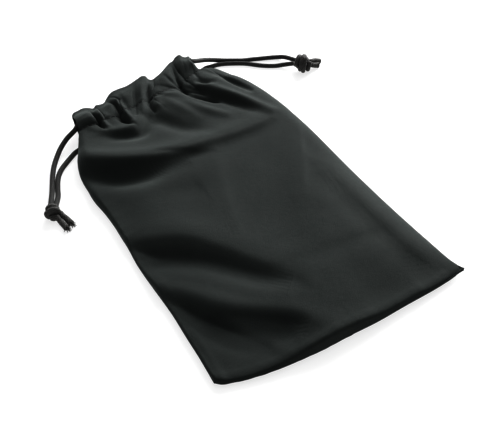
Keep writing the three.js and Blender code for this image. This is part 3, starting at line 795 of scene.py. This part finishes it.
BS, BN = mouth_coords(BP[..., 0], BP[..., 1])
BZ = BZ + (0.55 * (1 - ruffles(BS))) * np.exp(-(below / 7.0) ** 1.3)
body_back = np.stack([BP[..., 0], BP[..., 1], BZ], -1)
blp = at_fraction(BACK_LIP, U)
BC = bst[None] + (blp - bst)[None] * tc[:, None, None]
bs_, bn_ = mouth_coords(BC[..., 0], BC[..., 1])
low_z = 0.05 + 0.85 * (1 - ruffles(bs_)) + 0.35 * TT * (1 - ruffles(bs_))
end_rise = 0.9 * np.exp(-((1 - np.abs(2 * UU[0] - 1)) / 0.03) ** 2)
low_z = low_z + end_rise[None] * 0.6
casing_back = np.concatenate([BC, low_z[..., None]], -1)
bdir = blp - bst
bdir /= np.linalg.norm(bdir, axis=1)[:, None]
b_low = casing_back[-1, :, 2]
b_top = 3.35 + 0.55 * ruffles(bs_[-1]) - 0.45
rb = (b_top - b_low) / 2
rows_b = []
for k in range(1, RF + 1):
    a = -math.pi / 2 + math.pi * k / RF
    rows_b.append(np.concatenate([blp + bdir * (rb * math.cos(a))[:, None], (b_low + rb + rb * math.sin(a))[:, None]], 1))
for t in np.linspace(1, 0.04, RU + 9)[1:]:
    pl = bst + (blp - bst) * t
    s_, n_ = mouth_coords(pl[:, 0], pl[:, 1])
    top = 3.3 + 0.6 * ruffles(s_) - 0.5
    lowz = 0.05 + 0.85 * (1 - ruffles(s_)) + 1.1
    m = smooth(t / 0.35)
    rows_b.append(np.concatenate([pl, (lowz * (1 - m) + top * m)[:, None]], 1))
BACK_GRID = np.concatenate([body_back, casing_back, np.array(rows_b)], 0)
# outside is below, so the grid runs the other way
BG = BACK_GRID[:, ::-1][:, ::2]
rows_keep = np.r_[np.arange(0, RB - 30, 2), np.arange(RB - 30, BACK_GRID.shape[0])]
BG = BG[rows_keep]
NB = grid_normals(BG)
v, f, n = shell(BG, NB, THICK, 0, BG.shape[1] - 1)
back_cloth = make("back_cloth", v, f, normals=n)

# ---------- stitches that close the casings ----------
def stitches(line, normal, length, gap, radius, sink=0.12):
    """A row of single stitches along a line on the cloth."""
    r = run_of(line)
    parts, at0 = [], 0.6
    while at0 + length < r[-1] - 0.6:
        q = np.linspace(at0, at0 + length, 9)
        p = np.stack([np.interp(q, r, line[:, k]) for k in range(3)], 1)
        nn = np.stack([np.interp(q, r, normal[:, k]) for k in range(3)], 1)
        lift = np.sin(np.linspace(0, math.pi, 9)) ** 0.6 * (radius + sink) - sink
        parts.append(tube(p + nn * lift[:, None], np.r_[radius * 0.7, np.full(7, radius), radius * 0.7], around=8, braid=0))
        at0 += length + gap
    return join(parts)


row_f = RB - 1
line_f, norm_f = FRONT_GRID[row_f], NF[row_f]
stitch_pieces = {
    "left": make("front_stitches_left", *stitches(line_f[:MID + 1], norm_f[:MID + 1], 1.9, 0.5, 0.17)),
    "right": make("front_stitches_right", *stitches(line_f[MID:], norm_f[MID:], 1.9, 0.5, 0.17)),
}
kb = int(np.where(rows_keep == RB - 1)[0][0])
line_b = BG[kb] - NB[kb] * (THICK + 0.02)
back_stitches = make("back_stitches", *stitches(line_b, -NB[kb], 1.9, 0.5, 0.15))

# ---------- overlocked seam allowances inside the bag ----------
def allowance(edge, inward, half, z, name):
    """A seam allowance 3 mm wide, bound with overlock loops, lying inside along an edge."""
    p = spline(edge, step=0.45)
    t = np.gradient(p, axis=0)
    t /= np.linalg.norm(t, axis=1)[:, None]
    side = np.stack([-t[:, 1], t[:, 0]], 1) * inward
    p = p + side * (half + 1.2)
    path = np.concatenate([p, np.full((len(p), 1), z)], 1)
    m = 28
    th = np.arange(m) / m * TAU
    s = run_of(path)
    T, S_ = np.meshgrid(th, s)
    a = np.sign(np.cos(T)) * np.abs(np.cos(T)) ** 0.7 * half
    loops = 0.10 * np.abs(np.sin(TAU * S_ / 2.4 + T * 0.5)) ** 3
    b = np.sin(T) * (0.38 + loops)
    V_ = path[:, None, :] + a[..., None] * np.concatenate([side, np.zeros((len(p), 1))], 1)[:, None, :] + b[..., None] * np.array([0, 0, 1.0])
    n_ = len(path)
    faces = [tuple(q) for q in quads(n_, m, around=True)] + [tuple(range(m))[::-1], tuple(range((n_ - 1) * m, n_ * m))]
    if inward > 0:
        faces = [q[::-1] for q in faces]
    return make(name, V_.reshape(-1, 3), faces)


seam_left = allowance([p for p in LEFT if 4 < p[1] < 131], -1, 1.5, 1.3, "left_seam_allowance")
seam_right = allowance([p for p in RIGHT_EDGE if 8 < p[1] < 140], 1, 1.5, 2.1, "right_seam_allowance")
seam_bottom = allowance([p for p in BOTTOM if 5 < p[0] < 97], 1, 1.5, 2.2, "bottom_seam_allowance")

# ---------- the cords inside the casings ----------
inside = {}
for side in ("left", "right"):
    lane = LANE[side]
    ends = CASING_HALF
    pts = []
    for s in np.linspace(-ends, ends, 45):
        pts.append([*mouth(s, lane), float(run_z(ends - (-s if side == "left" else s)))])
    far = 1 if side == "left" else -1
    pts = np.array(pts)
    path = spline(pts, step=0.3)
    sx = (path[:, 0] - MOUTH[0]) * A2[0] + (path[:, 1] - MOUTH[1]) * A2[1]
    # the far end stops short of the turn, the near end meets the free strand
    keep = sx < 29.6 if far > 0 else sx > -29.6
    path, sx = path[keep], sx[keep]
    split = 0.0
    for half, pick in (("a", sx <= split + 0.2), ("b", sx >= split - 0.2)):
        v, f = tube(path[pick], CORD_D / 2, around=20, phase=0.5)
        inside[side, half] = make(f"{side}_cord_in_front_{half}", v, f)
    # back run with its turn up into the front tunnel
    near = -far * ends
    pts = [[*mouth(s, lane), BACK_Z] for s in np.linspace(near, far * 26.5, 12)]
    z0, z1 = BACK_Z, float(path[-1 if far > 0 else 0, 2])
    r = (z1 - z0) / 2
    for k in range(1, 9):
        a = -math.pi / 2 + math.pi * k / 8
        pts.append([*mouth(far * (27.4 + 1.0 * r * math.cos(a)), lane), (z0 + z1) / 2 + r * math.sin(a)])
    v, f = tube(spline(pts, step=0.3), CORD_D / 2, around=20, phase=0.9)
    inside[side, "back"] = make(f"{side}_cord_in_back", v, f)


# ------------------------------------------------------------------ materials
def principled(name, colour, rough=0.9, specular=0.25, sheen=0.0, sheen_rough=0.5, sheen_tint=(1, 1, 1)):
    m = bpy.data.materials.new(name)
    m.use_nodes = True
    nt = m.node_tree
    b = nt.nodes["Principled BSDF"]
    b.inputs["Base Color"].default_value = (*colour, 1)
    b.inputs["Roughness"].default_value = rough
    b.inputs["Specular IOR Level"].default_value = specular
    b.inputs["Sheen Weight"].default_value = sheen
    b.inputs["Sheen Roughness"].default_value = sheen_rough
    b.inputs["Sheen Tint"].default_value = (*sheen_tint, 1)
    return m, nt, b


def node(nt, kind, **values):
    n = nt.nodes.new(kind)
    for k, v in values.items():
        if k in n.inputs.keys():
            n.inputs[k].default_value = v
        else:
            setattr(n, k, v)
    return n


def microfibre(name, dark, light, bump=0.35, scale=1.0):
    """Brushed microfibre: short nap in small tufts, faint fine knit lines, and soft patches where
    the nap lies another way."""
    m, nt, b = principled(name, dark, rough=0.88, specular=0.18, sheen=0.14, sheen_rough=0.45, sheen_tint=(0.9, 1.0, 0.97))
    L = nt.links
    co = node(nt, "ShaderNodeTexCoord")
    big = node(nt, "ShaderNodeTexNoise", Scale=55.0 * scale, Detail=3.0, Roughness=0.55)
    mid = node(nt, "ShaderNodeTexNoise", Scale=520.0 * scale, Detail=3.0, Roughness=0.6)
    nap = node(nt, "ShaderNodeTexNoise", Scale=2600.0 * scale, Detail=4.0, Roughness=0.7)
    knit = node(nt, "ShaderNodeTexWave", wave_type="BANDS", bands_direction="DIAGONAL", Scale=900.0 * scale, Distortion=1.5, Detail=1.0)
    for n in (big, mid, nap, knit):
        L.new(co.outputs["Object"], n.inputs["Vector"])
    ramp = node(nt, "ShaderNodeMapRange", **{"From Min": 0.3, "From Max": 0.7})
    mixn = node(nt, "ShaderNodeMix", data_type="FLOAT", Factor=0.45)
    L.new(big.outputs["Fac"], mixn.inputs[2])
    L.new(mid.outputs["Fac"], mixn.inputs[3])
    L.new(mixn.outputs[0], ramp.inputs["Value"])
    col = node(nt, "ShaderNodeMix", data_type="RGBA")
    col.inputs[6].default_value = (*dark, 1)
    col.inputs[7].default_value = (*light, 1)
    L.new(ramp.outputs["Result"], col.inputs[0])
    L.new(col.outputs[2], b.inputs["Base Color"])
    rr_ = node(nt, "ShaderNodeMapRange", **{"From Min": 0.3, "From Max": 0.7, "To Min": 0.82, "To Max": 0.96})
    L.new(mid.outputs["Fac"], rr_.inputs["Value"])
    L.new(rr_.outputs["Result"], b.inputs["Roughness"])
    add1 = node(nt, "ShaderNodeMath", operation="MULTIPLY_ADD")
    add1.inputs[1].default_value = 0.18
    L.new(knit.outputs["Fac"], add1.inputs[0])
    L.new(nap.outputs["Fac"], add1.inputs[2])
    add2 = node(nt, "ShaderNodeMath", operation="MULTIPLY_ADD")
    add2.inputs[1].default_value = 0.8
    L.new(mid.outputs["Fac"], add2.inputs[0])
    L.new(add1.outputs[0], add2.inputs[2])
    bp = node(nt, "ShaderNodeBump", Strength=bump, Distance=0.00025)
    L.new(add2.outputs[0], bp.inputs["Height"])
    L.new(bp.outputs["Normal"], b.inputs["Normal"])
    return m


def yarn(name, dark, light, scale=1.0, rough=0.7, specular=0.3, sheen=0.1, gap=None):
    """Spun or braided yarn: fine filaments with small changes of colour. gap is a darker colour
    painted down between the yarns of a braid: painted shade where the gaps fall into shadow."""
    m, nt, b = principled(name, dark, rough=rough, specular=specular, sheen=sheen, sheen_rough=0.4)
    L = nt.links
    co = node(nt, "ShaderNodeTexCoord")
    fine = node(nt, "ShaderNodeTexNoise", Scale=4200.0 * scale, Detail=3.0, Roughness=0.7)
    wide = node(nt, "ShaderNodeTexNoise", Scale=650.0 * scale, Detail=2.0, Roughness=0.5)
    for n in (fine, wide):
        L.new(co.outputs["Object"], n.inputs["Vector"])
    fac = node(nt, "ShaderNodeMapRange", **{"From Min": 0.32, "From Max": 0.68})
    L.new(wide.outputs["Fac"], fac.inputs["Value"])
    col = node(nt, "ShaderNodeMix", data_type="RGBA")
    col.inputs[6].default_value = (*dark, 1)
    col.inputs[7].default_value = (*light, 1)
    L.new(fac.outputs["Result"], col.inputs[0])
    if gap is None:
        L.new(col.outputs[2], b.inputs["Base Color"])
    else:
        # painted shade: low between the yarns the colour goes over to the dark gap colour
        up = node(nt, "ShaderNodeAttribute", attribute_name="yarn")
        top = node(nt, "ShaderNodeMapRange", **{"From Min": 0.25, "From Max": 0.85})
        L.new(up.outputs["Fac"], top.inputs["Value"])
        deep = node(nt, "ShaderNodeMix", data_type="RGBA")
        deep.inputs[6].default_value = (*gap, 1)
        L.new(top.outputs["Result"], deep.inputs[0])
        L.new(col.outputs[2], deep.inputs[7])
        L.new(deep.outputs[2], b.inputs["Base Color"])
    rr_ = node(nt, "ShaderNodeMapRange", **{"From Min": 0.3, "From Max": 0.7, "To Min": rough - 0.1, "To Max": min(1.0, rough + 0.12)})
    L.new(fine.outputs["Fac"], rr_.inputs["Value"])
    L.new(rr_.outputs["Result"], b.inputs["Roughness"])
    bp = node(nt, "ShaderNodeBump", Strength=0.4, Distance=0.00012)
    L.new(fine.outputs["Fac"], bp.inputs["Height"])
    L.new(bp.outputs["Normal"], b.inputs["Normal"])
    return m


CLOTH = microfibre("microfibre_black", (0.017, 0.0205, 0.0195), (0.024, 0.0285, 0.027))
THREAD = yarn("sewing_thread_black", (0.009, 0.010, 0.010), (0.016, 0.017, 0.017), scale=1.4, rough=0.6)
# the cord's gap colour is painted shade down between the yarns of the braid
CORD = yarn("braided_cord_black", (0.046, 0.046, 0.044), (0.066, 0.066, 0.063), rough=0.66, specular=0.2, gap=(0.004, 0.004, 0.004))
# knots and tails, where the cord is tied and cut, get a lighter copy of the cord's colour: painted light standing in
# for light the lamps do not bring to them; the braid gaps keep their painted shade
CORD_PAINTED_LIGHT = yarn("braided_cord_painted_light", (0.086, 0.084, 0.080), (0.118, 0.115, 0.110), rough=0.7, specular=0.2, sheen=0.2, gap=(0.010, 0.010, 0.010))


def dress(ob, material):
    ob.data.materials.clear()
    ob.data.materials.append(material)


for ob in [*front_pieces.values(), back_cloth]:
    dress(ob, CLOTH)
for ob in [*stitch_pieces.values(), back_stitches, seam_left, seam_right, seam_bottom]:
    dress(ob, THREAD)
for ob in [*cord_pieces, *inside.values()]:
    dress(ob, CORD)
# knots and tails wear the lighter copy of the cord colour: painted light
for ob in [*knots.values(), *tails.values()]:
    dress(ob, CORD_PAINTED_LIGHT)
for name, ob in frame["nodes"].items():
    slot_material = {"microfibre": CLOTH, "hem": CLOTH, "thread": THREAD, "cord": CORD}
    for sp in frame["record"]["subparts"]:
        if sp["node"] == name:
            ob.data.materials.clear()
            ob.data.materials.append(slot_material.get(sp["material_slot"], CLOTH))


def lift(ob, half):
    if half == "left":
        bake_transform(ob)
    else:
        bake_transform(ob)


lift(front_pieces["left"], "left")
lift(front_pieces["right"], "right")
lift(stitch_pieces["left"], "left")
lift(stitch_pieces["right"], "right")
for side in ("left", "right"):
    lift(inside[side, "a"], "left")
    lift(inside[side, "b"], "right")
    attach(inside[side, "back"], "pouch")
for ob in (back_cloth, back_stitches, seam_left, seam_right, seam_bottom):
    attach(ob, "pouch")

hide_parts("front_panel", "front_casing")
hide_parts("front_panel", "front_casing")
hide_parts("back_panel", "back_casing")
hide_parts("front_casing_stitch")
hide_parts("front_casing_stitch")
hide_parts("back_casing_stitch")
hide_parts("left_side_seam")
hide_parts("right_side_seam")
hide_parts("bottom_seam")
for side in ("left", "right"):
    for half in ("a", "b"):
        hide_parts(f"{side}_cord_front_run")
    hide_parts(f"{side}_cord_back_run")

for ob in cord_pieces:
    side, face = ob["side"], ob["face"]
    path = strand_paths[side, face]
    start = path[0]
    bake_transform(ob)
    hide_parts(f"{side}_cord_{face}_strand")
    z = FRONT_Z if face == "front" else BACK_Z
for side in ("left", "right"):
    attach(knots[side], f"{side}_cord")
    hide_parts(f"{side}_cord_knot")
    for face in ("front", "back"):
        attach(tails[side, face], f"{side}_cord")
        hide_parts(f"{side}_cord_{face}_tail")

# ------------------------------------------------------------------ floor, light
me = bpy.data.meshes.new("studio_floor")
n, half = 9, 6.0
g = np.linspace(-half, half, n)
me.from_pydata([(float(x), float(y), 0.0) for y in g for x in g], [], [tuple(int(i) for i in q) for q in quads(n, n)])
floor = bpy.data.objects.new("studio_floor", me)
bpy.context.scene.collection.objects.link(floor)
fm, fnt, fb = principled("studio_white", (0.28, 0.28, 0.28), rough=0.9, specular=0.1)
fb.inputs["Emission Color"].default_value = (1, 1, 1, 1)
fb.inputs["Emission Strength"].default_value = 0.77
floor.data.materials.append(fm)

world = bpy.data.worlds.new("studio")
bpy.context.scene.world = world
world.use_nodes = True
bg = world.node_tree.nodes["Background"]
bg.inputs["Color"].default_value = (1, 1, 1, 1)
bg.inputs["Strength"].default_value = 0.42


def soft_light(name, place, aim, size, power):
    ld = bpy.data.lights.new(name, "AREA")
    ld.shape = "RECTANGLE"
    ld.size, ld.size_y = size
    ld.energy = power
    ob = bpy.data.objects.new(name, ld)
    bpy.context.scene.collection.objects.link(ob)
    ob.location = place
    ob.rotation_euler = (Vector(aim) - Vector(place)).to_track_quat("-Z", "Y").to_euler()
    return ob


soft_light("key_behind_right", (0.90, 1.0, 0.97), (0, 0, 0), (0.9, 0.6), 33.0)
soft_light("rim_right", (1.35, 0.75, 0.42), (0, 0, 0), (0.7, 0.5), 36.0)
soft_light("top_fill", (0.25, 0.45, 1.5), (0, 0, 0), (1.0, 1.0), 7.0)

scene = bpy.context.scene
scene.view_settings.view_transform = "Standard"
scene.view_settings.look = "None"
scene.view_settings.exposure = 0.0
scene.view_settings.gamma = 0.68
